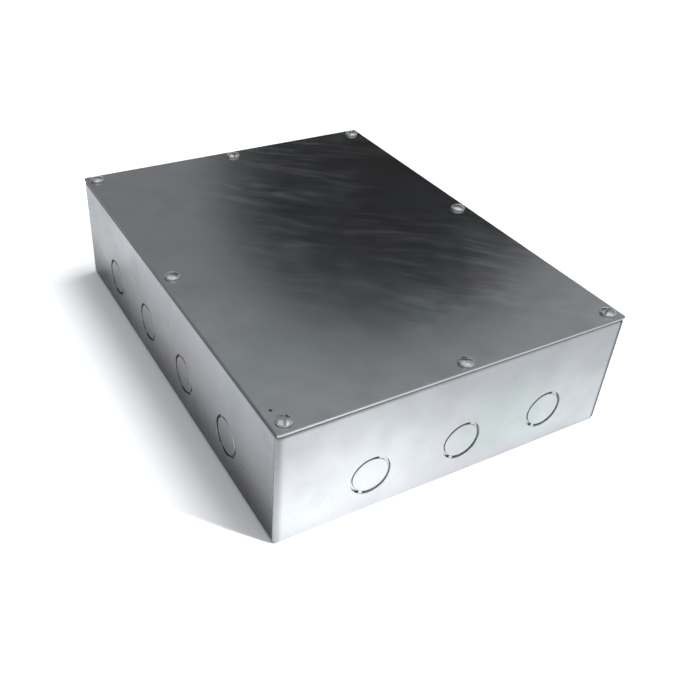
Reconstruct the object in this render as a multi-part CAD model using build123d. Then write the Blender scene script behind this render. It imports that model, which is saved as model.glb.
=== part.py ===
from build123d import *
import os

# Sheet-steel junction box with a flat screw-down cover and round knockouts in its four walls.
# Millimetres. X runs across the box, Y along it, +Z up. The origin is the centre of the underside.

# Overall sizes
box_width = 228.0
box_length = 300.0
body_height = 76.5
sheet = 1.5                     # thickness of the body's sheet
cover_thickness = 1.5

# Body: a wrapper (base and two long walls) closed by two end walls
bend_inside = 1.0               # inner radius of every bend
flange_width = 15.0             # inward flange that the cover sits on, from the outer face
seam_gap = 0.2                  # hairline between wrapper and end wall
tab_length = 12.0               # spot-welded lap behind the wrapper, from the end wall's inner face
tab_end_gap = 3.0               # how far a side tab stays from the base and from the nuts
weld_diameter = 5.0             # spot-weld dimples in the laps
weld_depth = 0.3
side_welds = 3
base_welds = 5

# Knockouts: a slug in a sheared ring, held by two ties
knockout_diameter = 25.4
ring_gap = 1.5
tie_width = 2.6
tie_depth = 0.9
tie_angle = 62.0                # from the horizontal, seen from outside
sheared_edge = 0.2              # chamfer that eases sheared edges
knockout_pitch = 60.5
side_knockouts = 4
end_knockouts = 3
side_knockout_height = 28.0
end_knockout_height = 26.0
end_row_shift = 4.0             # the row of three sits off centre, to the right seen from outside

# Cover and its screws
cover_corner_radius = 1.5
cover_edge_ease = 0.35
screw_inset = 7.5               # screw centres from the edges of the cover
front_middle_shift = (1.5, -1.5)  # this one hole was drilled off its mark, towards the front edge
thread_diameter = 5.0
screw_length = 10.0             # under the head
head_diameter = 9.4
head_height = 2.4
head_side_height = 0.8          # straight part of the head, below the dome
slot_width = 1.2
slot_depth = 1.2
running_clearance = 0.05        # radial, shank in thread
cover_hole_clearance = 0.3      # radial
flange_hole_clearance = 0.25    # radial
tip_chamfer = 0.6
nut_across_flats = 8.0
nut_thickness = 4.0

# Fixing holes in the base
fixing_hole_diameter = 6.5
fixing_spacing_x = 175.0
fixing_spacing_y = 250.0

# Earth terminal on the base
earth_x = 84.0
earth_y = 60.5
earth_stud_diameter = 6.0
earth_stud_height = 18.0
earth_collar_diameter = 9.0
earth_collar_height = 1.0
earth_washer_diameter = 12.5
earth_washer_thickness = 1.6
earth_washer_clearance = 0.3    # radial, on the stud
earth_nut_across_flats = 10.0
earth_nut_thickness = 5.0

# Worked out from the sizes above
bend_outside = sheet + bend_inside
half_width = box_width / 2
half_length = box_length / 2
flange_underside = body_height - sheet
cover_top = body_height + cover_thickness
knockout_radius = knockout_diameter / 2
slug_radius = knockout_radius - ring_gap
thread_radius = thread_diameter / 2
nut_bore_radius = thread_radius + running_clearance
nut_underside = flange_underside - nut_thickness
on_base = (Align.CENTER, Align.CENTER, Align.MIN)
under = (Align.CENTER, Align.CENTER, Align.MAX)


def block(x_range, y_range, z_range):
    """A box between two limits on each axis."""
    low, high = zip(x_range, y_range, z_range)
    size = [b - a for a, b in zip(low, high)]
    return Pos(*low) * Box(*size, align=(Align.MIN, Align.MIN, Align.MIN))


def rounded_box(width, length, height, radius):
    solid = Box(width, length, height, align=on_base)
    return fillet(solid.edges(), radius)


def folded_shell():
    """The whole body as one skin: base, walls and flange with rounded bends, open on top."""
    outer = rounded_box(box_width, box_length, body_height, bend_outside)
    inner = rounded_box(box_width - 2 * sheet, box_length - 2 * sheet, body_height - 2 * sheet, bend_inside)
    opening = Box(box_width - 2 * flange_width, box_length - 2 * flange_width, 2 * sheet, align=under)
    return outer - Pos(0, 0, sheet) * inner - Pos(0, 0, body_height + sheet / 2) * opening


# Where the holes go

def row(count, pitch):
    """Evenly spaced places, centred on zero."""
    return [pitch * (i - (count - 1) / 2) for i in range(count)]


def knockout_planes():
    """Each knockout's name and a plane on its wall: x to the viewer's right, z outwards."""
    planes = {}
    for number, along in enumerate(row(side_knockouts, knockout_pitch), start=1):
        left = (-half_width, -along, side_knockout_height)
        right = (half_width, along, side_knockout_height)
        planes[f"knockout_left_{number}"] = Plane(left, x_dir=(0, -1, 0), z_dir=(-1, 0, 0))
        planes[f"knockout_right_{number}"] = Plane(right, x_dir=(0, 1, 0), z_dir=(1, 0, 0))
    for number, along in enumerate(row(end_knockouts, knockout_pitch), start=1):
        across = along + end_row_shift
        front = (across, -half_length, end_knockout_height)
        back = (-across, half_length, end_knockout_height)
        planes[f"knockout_front_{number}"] = Plane(front, x_dir=(1, 0, 0), z_dir=(0, -1, 0))
        planes[f"knockout_back_{number}"] = Plane(back, x_dir=(-1, 0, 0), z_dir=(0, 1, 0))
    return planes


def screw_places():
    """Each cover screw's name, centre and the turn of its slot."""
    x = half_width - screw_inset
    y = half_length - screw_inset
    right, back = front_middle_shift
    return {
        "front_left": (-x, -y, 66),
        "front_middle": (right, -y + back, 148),
        "front_right": (x, -y, 20),
        "right_middle": (x, 0, 104),
        "back_right": (x, y, 35),
        "back_middle": (0, y, 80),
        "back_left": (-x, y, 165),
        "left_middle": (-x, 0, 122),
    }


knockouts = knockout_planes()
screws = screw_places()


def knockout_hole():
    """Cutter for one knockout, with its mouth eased on the outside. Outer face of the wall at z = 0."""
    hole = Cylinder(knockout_radius, 4 * sheet)
    mouth = Cone(knockout_radius, knockout_radius + 2 * sheared_edge, 2 * sheared_edge)
    return hole + mouth


def knockout_holes():
    return [plane * knockout_hole() for plane in knockouts.values()]


def screw_holes(radius):
    """Cutters for the eight screws through a flat sheet at the top of the body."""
    return [Pos(x, y, body_height) * Cylinder(radius, 4 * sheet) for x, y, _ in screws.values()]


# Body

def end_zone(side, gap=0.0):
    """The space that belongs to an end wall: its outer bends and its part of the flange."""
    seam = half_length - bend_outside - gap
    inner_flange = half_width - flange_width + gap
    wall_y = sorted((side * seam, side * (half_length + 1)))
    flange_y = sorted((side * (half_length - flange_width - 1), side * (half_length + 1)))
    wall = block((-half_width - 1, half_width + 1), wall_y, (-1, body_height + 1))
    flange = block((-inner_flange, inner_flange), flange_y, (flange_underside - gap, body_height + 1))
    return wall + flange


def lap_tabs(side):
    """Tabs bent back from an end wall, lying against the long walls and the base."""
    inner_y = half_length - sheet
    tab_y = sorted((side * (inner_y + sheet / 2), side * (inner_y - tab_length)))
    wall_x = half_width - sheet
    side_z = (bend_outside + tab_end_gap, nut_underside - tab_end_gap)
    left = block((-wall_x, -wall_x + sheet), tab_y, side_z)
    right = block((wall_x - sheet, wall_x), tab_y, side_z)
    base_x = half_width - flange_width
    bottom = block((-base_x, base_x), tab_y, (sheet, 2 * sheet))
    return left + right + bottom - weld_dimples(side, side_z, base_x)


def weld_dimples(side, side_z, base_x):
    """Cutters for the shallow marks that spot welding leaves in the tabs."""
    middle_y = side * (half_length - sheet - tab_length / 2)
    tab_x = half_width - 2 * sheet
    height = side_z[1] - side_z[0]
    disc = Cylinder(weld_diameter / 2, 2 * weld_depth)
    dimples = []
    for along in row(side_welds, height / side_welds):
        z = along + sum(side_z) / 2
        dimples += [Pos(x, middle_y, z) * Rot(0, 90, 0) * disc for x in (-tab_x, tab_x)]
    for along in row(base_welds, 2 * base_x / base_welds):
        dimples.append(Pos(along, middle_y, 2 * sheet) * disc)
    return dimples


def fixing_holes():
    places = GridLocations(fixing_spacing_x, fixing_spacing_y, 2, 2)
    return [place * Cylinder(fixing_hole_diameter / 2, 4 * sheet) for place in places]


def wrapper(shell):
    return shell - end_zone(-1, seam_gap) - end_zone(1, seam_gap) - fixing_holes()


def end_wall(shell, side):
    return (shell & end_zone(side)) + lap_tabs(side)


def hex_nut(across_flats, thickness, bore_radius):
    """A plain hexagon nut hanging below z = 0."""
    flats = extrude(RegularPolygon(across_flats / 2, 6, major_radius=False), -thickness)
    crown = Cylinder(across_flats / 2 * 1.12, thickness, align=under)
    crown = chamfer(crown.edges(), 0.1 * thickness)
    return (flats & crown) - Cylinder(bore_radius, 4 * thickness)


def cover_nuts():
    nut = hex_nut(nut_across_flats, nut_thickness, nut_bore_radius)
    return [Pos(x, y, flange_underside) * nut for x, y, _ in screws.values()]


# Knockouts

def slug():
    """One slug with its two ties, outer face at z = 0."""
    disc = Cylinder(slug_radius, sheet, align=under)
    disc = chamfer(disc.edges(), sheared_edge)
    reach = 2 * knockout_radius + 2
    ties = Rot(0, 0, tie_angle) * Box(reach, tie_width, tie_depth, align=under)
    hole = Cylinder(knockout_radius, 4 * sheet)
    core = Cylinder(slug_radius - 2 * sheared_edge, 4 * sheet)
    return disc + ((ties & hole) - core)


# Cover and screws

def cover():
    plate = Box(box_width, box_length, cover_thickness, align=on_base)
    plate = fillet(plate.edges().filter_by(Axis.Z), cover_corner_radius)
    plate = fillet(plate.faces().sort_by(Axis.Z)[-1].edges(), cover_edge_ease)
    return Pos(0, 0, body_height) * plate - screw_holes(thread_radius + cover_hole_clearance)


def cover_screw(turn):
    """Slotted round-head screw, seated at z = 0. The thread is a plain cylinder."""
    edge = head_diameter / 2
    side = Line((edge, 0), (edge, head_side_height))
    crown = Spline(side @ 1, (0, head_height), tangents=((0, 1), (-1, 0)))
    outline = make_face([side, crown, Line((0, head_height), (0, 0)), Line((0, 0), (edge, 0))])
    head = revolve(Plane.XZ * outline, Axis.Z)
    slot = Pos(0, 0, head_height - slot_depth) * Box(2 * head_diameter, slot_width, head_height, align=on_base)
    shank = Cylinder(thread_radius, screw_length, align=under)
    shank = chamfer(shank.edges().sort_by(Axis.Z)[0], tip_chamfer)
    return head - Rot(0, 0, turn) * slot + shank


# Earth terminal

def earth_stud():
    stud = Cylinder(earth_stud_diameter / 2, earth_stud_height, align=on_base)
    stud = chamfer(stud.edges().sort_by(Axis.Z)[-1], tip_chamfer)
    collar = Cylinder(earth_collar_diameter / 2, earth_collar_height, align=on_base)
    return Pos(earth_x, earth_y, sheet) * (stud + collar)


def earth_washer():
    ring = Cylinder(earth_washer_diameter / 2, earth_washer_thickness, align=on_base)
    ring = ring - Cylinder(earth_stud_diameter / 2 + earth_washer_clearance, 4 * earth_washer_thickness)
    return Pos(earth_x, earth_y, sheet + earth_collar_height) * ring


def earth_nut():
    nut = hex_nut(earth_nut_across_flats, earth_nut_thickness, earth_stud_diameter / 2 + running_clearance)
    top = sheet + earth_collar_height + earth_washer_thickness + earth_nut_thickness
    return Pos(earth_x, earth_y, top) * nut


# Assembly: one file for each piece

def save(name, *solids):
    export_step(Compound(children=list(solids)), f"parts/{name}.step")


os.makedirs("parts", exist_ok=True)
shell = folded_shell() - knockout_holes() - screw_holes(thread_radius + flange_hole_clearance)
save("wrapper", wrapper(shell))
save("end_wall_front", end_wall(shell, -1))
save("end_wall_back", end_wall(shell, 1))
save("cover_nuts", *cover_nuts())
save("cover", cover())
for name, (x, y, turn) in screws.items():
    save(f"cover_screw_{name}", Pos(x, y, cover_top) * cover_screw(turn))
for name, plane in knockouts.items():
    save(name, plane * slug())
save("earth_stud", earth_stud())
save("earth_washer", earth_washer())
save("earth_nut", earth_nut())
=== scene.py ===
import math

import bmesh
import bpy
from mathutils import Matrix, Vector


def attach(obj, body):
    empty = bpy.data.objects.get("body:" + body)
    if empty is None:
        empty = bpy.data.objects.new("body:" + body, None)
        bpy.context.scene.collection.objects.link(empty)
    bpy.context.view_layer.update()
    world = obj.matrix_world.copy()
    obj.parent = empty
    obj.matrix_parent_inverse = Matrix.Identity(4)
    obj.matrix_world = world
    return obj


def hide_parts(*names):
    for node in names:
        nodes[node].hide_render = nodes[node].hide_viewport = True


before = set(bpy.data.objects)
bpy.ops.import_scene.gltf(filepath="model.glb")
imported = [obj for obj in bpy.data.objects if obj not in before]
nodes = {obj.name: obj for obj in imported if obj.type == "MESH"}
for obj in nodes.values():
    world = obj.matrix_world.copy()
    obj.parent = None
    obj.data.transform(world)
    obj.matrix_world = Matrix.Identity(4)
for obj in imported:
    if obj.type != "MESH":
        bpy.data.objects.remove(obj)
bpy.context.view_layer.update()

# Sheet-steel junction box: finishes for the folded body and cover, cover screws with threads and
# eased slots, dished knockout slugs on their ties, and a soft studio round them. Metres, +Z up.

mm = 0.001

# Sizes that match the part, in millimetres
box_width = 228.0
box_length = 300.0
sheet = 1.5
cover_top = 78.0
screw_inset = 7.5
front_middle_shift = (1.5, -1.5)
thread_radius = 2.5
screw_length = 10.0
head_radius = 4.7
head_height = 2.4
head_side_height = 0.8
slot_width = 1.2
slot_floor = 1.2
tip_chamfer = 0.6
knockout_radius = 12.7
slug_radius = 11.2
tie_depth = 0.9
tie_angle = 62.0
knockout_pitch = 60.5
side_knockout_height = 28.0
end_knockout_height = 26.0
end_row_shift = 4.0
earth_place = (84.0, 60.5, sheet)
earth_stud_radius = 3.0
earth_stud_height = 18.0
earth_collar = (4.5, 1.0)

# Sizes that only the eye needs, in millimetres
thread_pitch = 0.8
thread_depth = 0.42
thread_crest = (0.06, 0.2)      # where the ridge of each turn starts and ends, down from its top
thread_root = (0.44, 0.56)      # and its groove
plain_shank = 1.2               # under the screw head, above the thread
plain_foot = 1.0                # on the stud, above its collar
tip_step = 0.1
head_ease = 0.12                # lower edge of the screw head
collar_ease = 0.15
slot_ease = 0.1
slug_dish = 0.22
slug_ease = 0.35
slug_sunk = 0.12
tie_sunk = 0.06
burr_radius = 12.55             # thin sheared lip behind each slug
dome_steps = 12
turns = 64
slug_turns = 112
tie_turns = 4                   # how many of them one tie takes
close_enough = 2e-6             # metres


# Making pieces

def spun(outline, steps=turns):
    """A mesh turned round Z from (radius, height) points in millimetres."""
    bm = bmesh.new()
    verts = [bm.verts.new((radius * mm, 0.0, height * mm)) for radius, height in outline]
    edges = [bm.edges.new(pair) for pair in zip(verts, verts[1:])]
    bmesh.ops.spin(
        bm, geom=verts + edges, cent=(0, 0, 0), axis=(0, 0, 1), angle=2 * math.pi, steps=steps, use_merge=True
    )
    bmesh.ops.remove_doubles(bm, verts=bm.verts, dist=1e-7)
    bmesh.ops.recalc_face_normals(bm, faces=bm.faces)
    return bm


def piece(name, bm, placed, crease=32):
    """An object at the origin whose mesh is bm moved to its place."""
    bm.transform(placed)
    bmesh.ops.recalc_face_normals(bm, faces=bm.faces)
    mesh = bpy.data.meshes.new(name)
    bm.to_mesh(mesh)
    bm.free()
    for polygon in mesh.polygons:
        polygon.use_smooth = True
    mesh.set_sharp_from_angle(angle=math.radians(crease))
    made = bpy.data.objects.new(name, mesh)
    bpy.context.collection.objects.link(made)
    return made


def thread(radius, top, bottom):
    """Outline of a ridged thread from top down to bottom."""
    points = []
    z = top
    while z - thread_pitch > bottom:
        points += [(radius, z - down) for down in thread_crest]
        points += [(radius - thread_depth, z - down) for down in thread_root]
        z -= thread_pitch
    return points


def screw_outline():
    """Half of a round-head screw, from the top of the head down to the tip. Seated at z = 0."""
    dome = head_height - head_side_height
    steps = [math.radians(90 - 90 * i / dome_steps) for i in range(dome_steps + 1)]
    head = [(head_radius * math.cos(a), head_side_height + dome * math.sin(a)) for a in steps]
    head += [(head_radius, head_ease), (head_radius - head_ease, 0.0), (thread_radius, 0.0)]
    tip_top = -screw_length + tip_chamfer
    shank = [(thread_radius, -plain_shank)] + thread(thread_radius, -plain_shank, tip_top)
    tip = [(thread_radius - tip_step, tip_top), (thread_radius - tip_chamfer, -screw_length)]
    return head + shank + tip + [(0.0, -screw_length)]


def near(a, b):
    return abs(a - b) < close_enough


def open_slot(bm):
    """Cuts the driver slot across the head, along Y, and eases its edges."""
    half, floor = slot_width / 2 * mm, slot_floor * mm
    cuts = [((0, 0, floor), (0, 0, 1)), ((half, 0, 0), (1, 0, 0)), ((-half, 0, 0), (1, 0, 0))]
    for level, (point, normal) in zip((head_side_height * mm, floor, floor), cuts):
        faces = [f for f in bm.faces if f.calc_center_median().z > level]
        edges = list({e for f in faces for e in f.edges})
        verts = list({v for f in faces for v in f.verts})
        bmesh.ops.bisect_plane(bm, geom=verts + edges + faces, dist=1e-7, plane_co=point, plane_no=normal)
    gone = []
    for face in bm.faces:
        middle = face.calc_center_median()
        if middle.z > floor and abs(middle.x) < half:
            gone.append(face)
    bmesh.ops.delete(bm, geom=gone, context="FACES")
    rim = {v for e in bm.edges if e.is_boundary for v in e.verts}
    walls = []
    for side in (-half, half):
        arc = sorted((v for v in rim if near(v.co.x, side)), key=lambda v: v.co.y)
        walls.append(bm.faces.new(arc))
    base = [v for v in rim if near(v.co.z, floor)]
    bm.faces.new(sorted(base, key=lambda v: math.atan2(v.co.y, v.co.x)))
    bmesh.ops.recalc_face_normals(bm, faces=bm.faces)
    lips = [e for wall in walls for e in wall.edges if max(v.co.z for v in e.verts) > floor + 1e-6]
    bmesh.ops.bevel(
        bm, geom=lips, offset=slot_ease * mm, segments=2, profile=0.5, affect="EDGES", material=-1
    )


def cover_screw(name, x, y, turn):
    """A cover screw in its place, its slot turned this many degrees from X."""
    bm = spun(screw_outline())
    open_slot(bm)
    seat = Matrix.Translation((x * mm, y * mm, cover_top * mm))
    return piece(name, bm, seat @ Matrix.Rotation(math.radians(turn + 90), 4, "Z"), crease=38)


def slug_outline():
    """Half of a slug, from the middle of its outer face round to the middle of its inner face."""
    face = [(r, -slug_dish * (1 - (r / slug_radius) ** 2)) for r in (0.0, 2.5, 5.0, 7.5, 9.5, 10.6)]
    inner = [(r, z - sheet) for r, z in reversed(face)]
    ease = [(slug_radius - slug_ease * k, -slug_ease * (1 - k) ** 2) for k in (1.0, 0.55, 0.2)]
    side = [(slug_radius, -slug_ease), (slug_radius, -tie_depth)]
    lip = [(slug_radius, 0.35), (burr_radius - 0.1, 0.3), (burr_radius, 0.2), (burr_radius, 0.08)]
    lip += [(slug_radius - 0.15, 0.0)]
    burr = [(r, z - sheet) for r, z in lip]
    return face + ease + side + burr + inner


def slug(name, placed, lean):
    """A punched slug with its two ties; lean is how far it tips about the line through them."""
    bm = spun(slug_outline(), slug_turns)
    width = tie_turns * 360 / slug_turns
    ties = []
    for face in bm.faces:
        middle = face.calc_center_median()
        on_side = math.hypot(middle.x, middle.y) > (slug_radius - 0.02) * mm
        turn = (math.degrees(math.atan2(middle.y, middle.x)) + width / 2) % 180
        if on_side and turn < width and -tie_depth * mm < middle.z < -slug_ease * mm:
            ties.append(face)
    grown = bmesh.ops.extrude_face_region(bm, geom=ties)
    for v in (g for g in grown["geom"] if isinstance(g, bmesh.types.BMVert)):
        v.co.xy *= knockout_radius / slug_radius
        if v.co.z > -tie_depth / 2 * mm:
            v.co.z = -tie_sunk * mm
    bmesh.ops.delete(bm, geom=ties, context="FACES_ONLY")
    sunk = slug_sunk + slug_radius * math.sin(math.radians(abs(lean)))
    turned = Matrix.Rotation(math.radians(tie_angle), 4, "Z")
    tipped = Matrix.Rotation(math.radians(lean), 4, "X")
    return piece(name, bm, placed @ (turned @ Matrix.Translation((0, 0, -sunk * mm)) @ tipped))


def threaded_stud(name, place, radius, height, collar):
    """The earth stud: a collar on the base and a threaded stem."""
    collar_radius, collar_height = collar
    stem = [(0.0, height), (radius - tip_chamfer, height), (radius - tip_step, height - tip_chamfer)]
    stem += thread(radius, height - tip_chamfer, collar_height + plain_foot)
    foot = [(radius, collar_height), (collar_radius - collar_ease, collar_height)]
    foot += [(collar_radius, collar_height - collar_ease), (collar_radius, 0.0), (0.0, 0.0)]
    return piece(name, spun(stem + foot), Matrix.Translation(Vector(place) * mm))


# Finishes

class Shading:
    """Short ways to build a node tree."""

    def __init__(self, tree):
        self.tree = tree

    def put(self, socket, value):
        if isinstance(value, bpy.types.NodeSocket):
            self.tree.links.new(value, socket)
        elif value is not None:
            socket.default_value = value

    def node(self, kind, *values, **settings):
        """A node with its inputs filled in order and its settings set."""
        made = self.tree.nodes.new(kind)
        for name, value in settings.items():
            setattr(made, name, value)
        for socket, value in zip(made.inputs, values):
            self.put(socket, value)
        return made

    def split(self, vector):
        """The x, y and z of a vector."""
        return tuple(self.node("ShaderNodeSeparateXYZ", vector).outputs)

    def ramp(self, value, low, high, to_low=0.0, to_high=1.0, smooth=True):
        """The value carried from one range to another and held inside it."""
        kind = "SMOOTHSTEP" if smooth else "LINEAR"
        made = self.node("ShaderNodeMapRange", value, low, high, to_low, to_high, interpolation_type=kind)
        return made.outputs[0]

    def sum(self, a, b, operation="ADD"):
        return self.node("ShaderNodeMath", a, b, operation=operation).outputs[0]

    def times(self, a, b):
        return self.sum(a, b, "MULTIPLY")

    def size_of(self, value):
        """The value without its sign."""
        return self.sum(value, None, "ABSOLUTE")

    def vector(self, a, b, operation):
        return self.node("ShaderNodeVectorMath", a, b, operation=operation).outputs[0]

    def dot(self, a, b):
        return self.node("ShaderNodeVectorMath", a, b, operation="DOT_PRODUCT").outputs["Value"]


class Finish(Shading):
    """A procedural finish, built up in layers. Places are metres in the box's own frame."""

    def __init__(self, name, metallic=1.0):
        self.material = bpy.data.materials.new(name)
        self.material.use_nodes = True
        super().__init__(self.material.node_tree)
        self.shader = self.tree.nodes["Principled BSDF"]
        self.shader.inputs["Metallic"].default_value = metallic
        self.place = self.node("ShaderNodeTexCoord").outputs["Object"]
        self.x, self.y, self.z = self.split(self.place)
        self.facing = self.node("ShaderNodeNewGeometry").outputs["Normal"]
        self.facing_x, self.facing_y, self.facing_z = self.split(self.facing)
        self.colour = None
        self.rough = None
        self.heights = []

    def clouds(self, scale, detail=3.0, rough=0.5, warp=0.0, place=None):
        """Soft noise from 0 to 1 with this many lumps a metre."""
        made = self.node("ShaderNodeTexNoise")
        inputs = {"Scale": scale, "Detail": detail, "Roughness": rough, "Distortion": warp}
        self.put(made.inputs["Vector"], place or self.place)
        for name, value in inputs.items():
            self.put(made.inputs[name], value)
        return made.outputs[0]

    def cells(self, scale, place):
        """A soft-edged cellular pattern: a grey for each cell."""
        made = self.node("ShaderNodeTexVoronoi", feature="SMOOTH_F1")
        self.put(made.inputs["Vector"], place)
        self.put(made.inputs["Scale"], scale)
        return self.node("ShaderNodeSeparateColor", made.outputs["Color"]).outputs[0]

    def stirred(self, scale, reach):
        """The place moved about by noise, up to this reach in millimetres on each axis."""
        drift = self.node("ShaderNodeTexNoise")
        self.put(drift.inputs["Vector"], self.place)
        self.put(drift.inputs["Scale"], scale)
        moved = self.vector(drift.outputs["Color"], [r * mm for r in reach], "MULTIPLY")
        return self.vector(self.place, moved, "ADD")

    def mixed(self, factor, a, b):
        """Colour a where the factor is 0, b where it is 1."""
        made = self.node("ShaderNodeMix", data_type="RGBA")
        self.put(made.inputs["Factor"], factor)
        for socket, value in zip([s for s in made.inputs if s.type == "RGBA"], (a, b)):
            self.put(socket, value if isinstance(value, bpy.types.NodeSocket) else (*value, 1.0))
        return [s for s in made.outputs if s.type == "RGBA"][0]

    def outside(self):
        """1 on faces that look away from the middle of the box, 0 on those that look into it."""
        middle = (0, 0, cover_top / 2 * mm)
        away = self.dot(self.facing, self.vector(self.place, middle, "SUBTRACT"))
        return self.ramp(away, 0.0, 4 * mm)

    def tint(self, factor, colour):
        """Lays a colour over the finish so far."""
        self.colour = self.mixed(factor, self.colour, colour)

    def roughen(self, factor, amount):
        self.rough = self.sum(self.rough, self.times(factor, amount))

    def raise_by(self, value, height):
        """Adds relief: the value, times this height in millimetres."""
        self.heights.append(self.times(value, height * mm))

    def done(self):
        self.put(self.shader.inputs["Base Color"], self.colour)
        self.put(self.shader.inputs["Roughness"], self.rough)
        relief = self.heights[0]
        for height in self.heights[1:]:
            relief = self.sum(relief, height)
        bump = self.node("ShaderNodeBump")
        for name, value in (("Strength", 1.0), ("Distance", 1.0), ("Height", relief)):
            self.put(bump.inputs[name], value)
        self.put(self.shader.inputs["Normal"], bump.outputs[0])
        return self.material


def zinc(name, light, dark, smooth, dull):
    """Zinc-coated sheet: soft spangle, stains, faint casts, fine grain and slightly uneven flats."""
    steel = Finish(name)
    spangle = steel.cells(85.0, steel.stirred(60.0, (4, 4, 4)))
    stains = steel.ramp(steel.clouds(22.0, detail=4.0, warp=0.3), 0.42, 0.68)
    patches = steel.ramp(steel.clouds(55.0, rough=0.55), 0.35, 0.7)
    tone = steel.sum(steel.times(stains, 0.45), steel.times(patches, 0.3))
    tone = steel.sum(tone, steel.times(spangle, 0.25))
    steel.colour = steel.mixed(tone, light, dark)
    steel.rough = steel.ramp(tone, 0.0, 1.0, smooth, dull, smooth=False)
    green, pink = (0.86, 1.0, 0.93), (1.0, 0.9, 0.94)
    for scale, shift, hue in ((19.0, 0.0, green), (16.0, 0.7, pink)):
        moved = steel.vector(steel.place, (shift, shift, shift), "ADD")
        cast = steel.ramp(steel.clouds(scale, place=moved), 0.5, 0.66)
        steel.tint(steel.times(cast, 0.36), [c * k for c, k in zip(light, hue)])
    steel.raise_by(steel.clouds(5.0, detail=1.0), 0.5)
    steel.raise_by(patches, 0.006)
    steel.raise_by(steel.clouds(1500.0, detail=2.0), 0.0008)
    return steel


def wipe(steel, light, amount):
    """Diagonal wiping marks, and smudges towards the front edge."""
    swept = steel.stirred(9.0, (30, 30, 0))
    # Angle in degrees, strokes a metre along and across, range of the noise, weight
    sweeps = (
        (-41, (18, 120), (0.42, 0.78), 1.0),
        (-34, (22, 300), (0.5, 0.85), 0.8),
        (-52, (30, 480), (0.52, 0.85), 0.6),
    )
    strokes = 0.0
    for angle, (along, across), (low, high), weight in sweeps:
        turn, size = (0, 0, math.radians(angle)), (1 / along, 1 / across, 1 / 40)
        laid = steel.node("ShaderNodeMapping", swept, (0, 0, 0), turn, size, vector_type="TEXTURE").outputs[0]
        lines = steel.ramp(steel.clouds(1.0, detail=5.0, rough=0.62, warp=0.2, place=laid), low, high)
        strokes = steel.sum(strokes, steel.times(lines, weight))
    where = steel.ramp(steel.clouds(8.0), 0.38, 0.62, 0.25, 1.0)
    strokes = steel.times(steel.times(strokes, where), amount)
    steel.tint(steel.times(strokes, 0.5), [1.25 * c for c in light])
    steel.roughen(strokes, 0.3)
    smudges = steel.ramp(steel.clouds(30.0, detail=6.0, rough=0.65, warp=0.15), 0.4, 0.72)
    smudges = steel.times(smudges, steel.ramp(steel.y, -50 * mm, -135 * mm))
    steel.roughen(smudges, 0.09)
    steel.tint(steel.times(smudges, 0.3), [1.2 * c for c in light])


def darken_bends(steel, dark):
    """Darker where an end wall bends back, and a dark line down the right bend."""
    bend_zone = steel.ramp(steel.size_of(steel.x), 109 * mm, 113 * mm)
    steel.tint(steel.times(bend_zone, 0.9), [0.68 * c for c in dark])
    right_bend = steel.ramp(steel.x, 109.8 * mm, 111.2 * mm)
    steel.tint(steel.times(right_bend, 0.85), (0.05, 0.05, 0.055))


def paint_wall_shade(steel, amount):
    """Painted shade on the outside of the walls, standing in for the shadowed floor they mirror: darkest at
    their foot, rising and spreading towards the back.
    """
    smear = steel.times(steel.sum(steel.clouds(30.0, detail=4.0), -0.5), 12 * mm)
    lowered = steel.sum(smear, steel.ramp(steel.y, 70 * mm, 150 * mm, 0.0, -16 * mm))
    foot = steel.ramp(steel.sum(steel.z, lowered), 42 * mm, -4 * mm)
    back = steel.ramp(steel.y, 30 * mm, 110 * mm, 0.0, 0.34)
    painted_shade = steel.times(steel.sum(foot, back, "MAXIMUM"), steel.outside())
    # A near-black tint over the foot and back of the walls: painted shade.
    steel.tint(steel.times(painted_shade, amount), (0.03, 0.028, 0.034))
    steel.roughen(painted_shade, 0.06)


def paint_upper_shade(steel, amount):
    """Painted shade on the outside of the walls, darker higher up."""
    smear = steel.times(steel.sum(steel.clouds(14.0), -0.5), 50 * mm)
    upper_shade = steel.times(steel.ramp(steel.sum(steel.z, smear), 2 * mm, 75 * mm), steel.outside())
    steel.tint(steel.times(upper_shade, amount), (0.1, 0.105, 0.11))


def shade_top_bend(steel, amount):
    """Darkens the bend under the cover, but not the flat top of the flange."""
    not_flat = steel.ramp(steel.facing_z, 0.99, 0.9)
    under_cover = steel.times(steel.ramp(steel.z, 73.5 * mm, 75.2 * mm), not_flat)
    steel.tint(steel.times(under_cover, amount), (0.03, 0.03, 0.035))


def shade_cover_edges(steel):
    """The cover's edges, painted by how light falls on them: dark painted shade along its sides, lighter
    along its ends, and painted shade where they are rounded; all of them rougher.
    """
    side = steel.ramp(steel.size_of(steel.facing_x), 0.75, 0.95)
    end = steel.ramp(steel.size_of(steel.facing_y), 0.75, 0.95)
    steel.tint(side, (0.085, 0.085, 0.095))
    steel.tint(end, (0.42, 0.43, 0.44))
    steel.roughen(steel.sum(side, end), 0.2)
    rounded = steel.ramp(steel.facing_z, 0.99, 0.85)
    rounded = steel.times(rounded, steel.ramp(steel.facing_z, 0.02, 0.2))
    steel.tint(steel.times(rounded, 0.85), (0.14, 0.145, 0.15))
    steel.roughen(rounded, 0.2)


def pit(steel, centre, radius):
    """A small dark pit. Centre and radius in millimetres."""
    away = steel.node("ShaderNodeVectorMath", steel.place, [c * mm for c in centre], operation="DISTANCE")
    spot = steel.ramp(away.outputs["Value"], radius * 1.3 * mm, radius * 0.6 * mm)
    steel.tint(spot, (0.03, 0.028, 0.026))
    steel.roughen(spot, 0.4)
    steel.raise_by(spot, -0.02)


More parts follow.
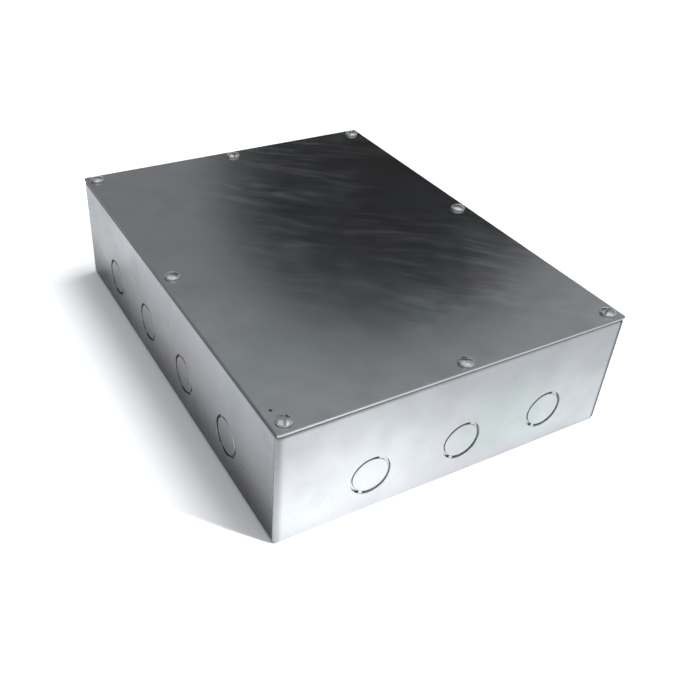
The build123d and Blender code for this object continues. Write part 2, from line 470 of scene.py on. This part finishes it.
def shaded_wrapper_finish():
    # A shaded copy of the end walls' zinc: the same sheet painted darker, as painted shade on the side walls
    # and base.
    steel = zinc("galvanised_wrapper_shaded", (0.38, 0.386, 0.404), (0.3, 0.305, 0.325), 0.22, 0.3)
    # Painted shade at the foot of the walls and towards the back.
    paint_wall_shade(steel, 0.92)
    shade_top_bend(steel, 0.8)
    return steel.done()


def end_finish():
    dark = (0.43, 0.445, 0.455)
    steel = zinc("galvanised_ends", (0.53, 0.545, 0.56), dark, 0.22, 0.3)
    darken_bends(steel, dark)
    paint_wall_shade(steel, 0.04)
    # Painted shade, darker towards the top of the end walls.
    paint_upper_shade(steel, 0.42)
    shade_top_bend(steel, 0.15)
    return steel.done()


def cover_finish():
    light = (0.56, 0.575, 0.585)
    steel = zinc("galvanised_cover", light, (0.46, 0.475, 0.485), 0.14, 0.2)
    wipe(steel, light, 0.24)
    shade_cover_edges(steel)
    pit(steel, (-108.7, -132.4, cover_top), 0.9)
    return steel.done()


def plated(name, light, dark, smooth, dull):
    """Bright plating on small hardware: faint patches and tool marks."""
    steel = Finish(name)
    patches = steel.ramp(steel.clouds(420.0, detail=4.0, rough=0.6), 0.35, 0.7)
    turn, scale = (0, 0, math.radians(20)), (900, 5200, 900)
    brushed = steel.node("ShaderNodeMapping", steel.place, (0, 0, 0), turn, scale).outputs[0]
    marks = steel.clouds(1.0, detail=2.0, place=brushed)
    steel.colour = steel.mixed(patches, light, dark)
    steel.rough = steel.ramp(patches, 0.0, 1.0, smooth, dull, smooth=False)
    steel.roughen(marks, 0.06)
    steel.raise_by(patches, 0.01)
    steel.raise_by(marks, 0.004)
    return steel.done()


shaded_wrapper_sheet = shaded_wrapper_finish()
end_sheet = end_finish()
cover_sheet = cover_finish()
screw_plate = plated("zinc_plated_screws", (0.62, 0.62, 0.62), (0.4, 0.4, 0.4), 0.15, 0.28)
nut_plate = plated("zinc_plated_nuts", (0.7, 0.7, 0.7), (0.5, 0.5, 0.5), 0.2, 0.38)
earth_brass = plated("earth_brass", (0.83, 0.62, 0.28), (0.62, 0.43, 0.18), 0.18, 0.38)


# The pieces on the part

def finish_part(material, *names):
    for name in names:
        part = nodes[name]
        if not part.material_slots:
            part.data.materials.append(material)
        for place in part.material_slots:
            place.material = material


def fit(made, part, body, material):
    """Puts a new piece in place of a part, on the same body."""
    made.data.materials.append(material)
    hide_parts(part)
    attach(made, body)


finish_part(shaded_wrapper_sheet, "wrapper")
finish_part(end_sheet, "end_wall_front", "end_wall_back")
finish_part(cover_sheet, "cover")
finish_part(nut_plate, "cover_nuts", "earth_washer")
finish_part(earth_brass, "earth_nut")

half_width = box_width / 2
half_length = box_length / 2
screw_x = half_width - screw_inset
screw_y = half_length - screw_inset
# Where each cover screw sits, and how its slot is turned in degrees
screws = {
    "front_left": (-screw_x, -screw_y, 66),
    "front_middle": (front_middle_shift[0], -screw_y + front_middle_shift[1], 148),
    "front_right": (screw_x, -screw_y, 20),
    "right_middle": (screw_x, 0, 104),
    "back_right": (screw_x, screw_y, 35),
    "back_middle": (0, screw_y, 80),
    "back_left": (-screw_x, screw_y, 165),
    "left_middle": (-screw_x, 0, 122),
}
for name, (x, y, turn) in screws.items():
    made = cover_screw(f"screw_{name}", x, y, turn)
    fit(made, f"cover_screw_{name}", f"cover_screw_{name}", screw_plate)


def facing(place, right, out):
    """Where a slug sits: x to the right as seen from outside, z outwards."""
    right, out = Vector(right), Vector(out)
    axes = Matrix((right, out.cross(right), out)).transposed().to_4x4()
    return Matrix.Translation(Vector(place) * mm) @ axes


slugs = {}
for number, along in enumerate((-1.5, -0.5, 0.5, 1.5), start=1):
    y = along * knockout_pitch
    slugs[f"left_{number}"] = facing((-half_width, -y, side_knockout_height), (0, -1, 0), (-1, 0, 0))
    slugs[f"right_{number}"] = facing((half_width, y, side_knockout_height), (0, 1, 0), (1, 0, 0))
for number, along in enumerate((-1, 0, 1), start=1):
    x = along * knockout_pitch + end_row_shift
    slugs[f"front_{number}"] = facing((x, -half_length, end_knockout_height), (1, 0, 0), (0, -1, 0))
    slugs[f"back_{number}"] = facing((-x, half_length, end_knockout_height), (-1, 0, 0), (0, 1, 0))
# How far each slug tips, in degrees, in the order above
leans = (0.5, -0.4, 0.7, -0.6, 0.3, 0.6, -0.3, 0.45, -0.55, 0.35, 0.6, -0.45, 0.4, -0.65)
for (name, placed), lean in zip(slugs.items(), leans):
    made = slug(f"slug_{name}", placed, lean)
    own_sheet = shaded_wrapper_sheet if name.startswith(("left", "right")) else end_sheet
    fit(made, f"knockout_{name}", f"knockout_{name}", own_sheet)

stud = threaded_stud("threaded_earth_stud", earth_place, earth_stud_radius, earth_stud_height, earth_collar)
fit(stud, "earth_stud", "box_body", earth_brass)


# Studio

def floor():
    bm = bmesh.new()
    bmesh.ops.create_circle(bm, cap_ends=True, segments=96, radius=9.0)
    made = piece("studio_floor", bm, Matrix.Identity(4))
    paper = Finish("studio_paper", metallic=0.0)
    mottle = paper.clouds(3.0, detail=2.0)
    paper.raise_by(paper.clouds(700.0), 0.002)
    paper.colour = paper.mixed(mottle, (0.86, 0.86, 0.86), (0.84, 0.84, 0.84))
    paper.rough = 0.75
    made.data.materials.append(paper.done())


def floor_glow(name, place, target, cone, power, stretch=1.0):
    """A soft-edged pool of light on the floor, which the wall above it picks up."""
    lamp = bpy.data.lights.new(name, "SPOT")
    lamp.spot_size = math.radians(cone)
    lamp.spot_blend = 1.0
    lamp.shadow_soft_size = 0.05
    lamp.energy = power
    made = bpy.data.objects.new(name, lamp)
    made.location = place
    made.rotation_euler = (Vector(target) - Vector(place)).to_track_quat("-Z", "Y").to_euler()
    made.scale.x = stretch
    made.visible_glossy = False
    bpy.context.collection.objects.link(made)


def even_light(name, towards, spread, strength, tint):
    """Broad light from one direction, the same over the whole floor; spread is its width in degrees."""
    lamp = bpy.data.lights.new(name, "SUN")
    lamp.angle = math.radians(spread)
    lamp.energy = strength
    lamp.color = tint
    made = bpy.data.objects.new(name, lamp)
    made.rotation_euler = (-Vector(towards)).to_track_quat("-Z", "Y").to_euler()
    made.visible_glossy = False
    bpy.context.collection.objects.link(made)


def way(azimuth, elevation):
    """A direction: azimuth from +Y towards +X, elevation above the horizon, in degrees."""
    a, e = math.radians(azimuth), math.radians(elevation)
    return (math.sin(a) * math.cos(e), math.cos(a) * math.cos(e), math.sin(e))


# Azimuth and elevation of each dark patch of the room, its core and its edge from there, all in
# degrees, and how much light it leaves
dark_patches = ((36, 25, 8.7, 13, 0.08), (20, 24, 12, 34, 0.8), (-44, 22, 12, 26, 0.15))
room_tint = (0.95, 0.975, 1.0)


def surroundings():
    """A pale room, brighter overhead and to the front, with dark patches that the steel mirrors."""
    world = bpy.data.worlds.new("studio_room")
    bpy.context.scene.world = world
    world.use_nodes = True
    room = Shading(world.node_tree)
    direction = room.node("ShaderNodeTexCoord").outputs["Generated"]
    _, backward, height = room.split(direction)
    level = room.ramp(height, 0.08, 0.3, 0.75, 0.36)
    # What brightens the room, between which values of it, and by how much
    gains = ((backward, 0.3, -0.5, 1.5), (height, 0.52, 0.6, 1.4), (height, 0.7, 0.92, 1.9))
    for value, low, high, gain in gains:
        level = room.times(level, room.ramp(value, low, high, 1.0, gain))
    for azimuth, elevation, core, edge, left in dark_patches:
        outer, inner = (math.cos(math.radians(a)) for a in (edge, core))
        towards = room.dot(direction, way(azimuth, elevation))
        level = room.times(level, room.ramp(towards, outer, inner, 1.0, left))
    colour = room.node("ShaderNodeCombineXYZ", *[room.times(level, k) for k in room_tint]).outputs[0]
    background = room.tree.nodes["Background"]
    room.put(background.inputs["Color"], colour)
    background.inputs["Strength"].default_value = 1.0


floor()
surroundings()
even_light("high_light", (0.34, -0.07, 0.94), 27, 2.62, (0.965, 0.985, 1.0))
floor_glow("left_glow", (0.45, -0.8, 0.6), (-0.1, -0.165, 0.0), 11.5, 74.0)
floor_glow("right_glow", (0.1, -0.8, 0.6), (0.06, -0.16, 0.0), 8, 20.0, stretch=2.4)

camera_data = bpy.data.cameras.new("studio_camera")
camera_data.sensor_width = 36.0
camera_data.lens = 43.08
camera_data.shift_x = 0.0686
camera_data.shift_y = -0.0243
camera_data.clip_start = 0.01
camera_data.clip_end = 50.0
camera = bpy.data.objects.new("studio_camera", camera_data)
camera.location = (-0.2535, -0.4027, 0.3467)
camera.rotation_euler = [math.radians(a) for a in (54.088, -2.466, -28.869)]
bpy.context.collection.objects.link(camera)
bpy.context.scene.camera = camera
bpy.context.scene.view_settings.view_transform = "Standard"
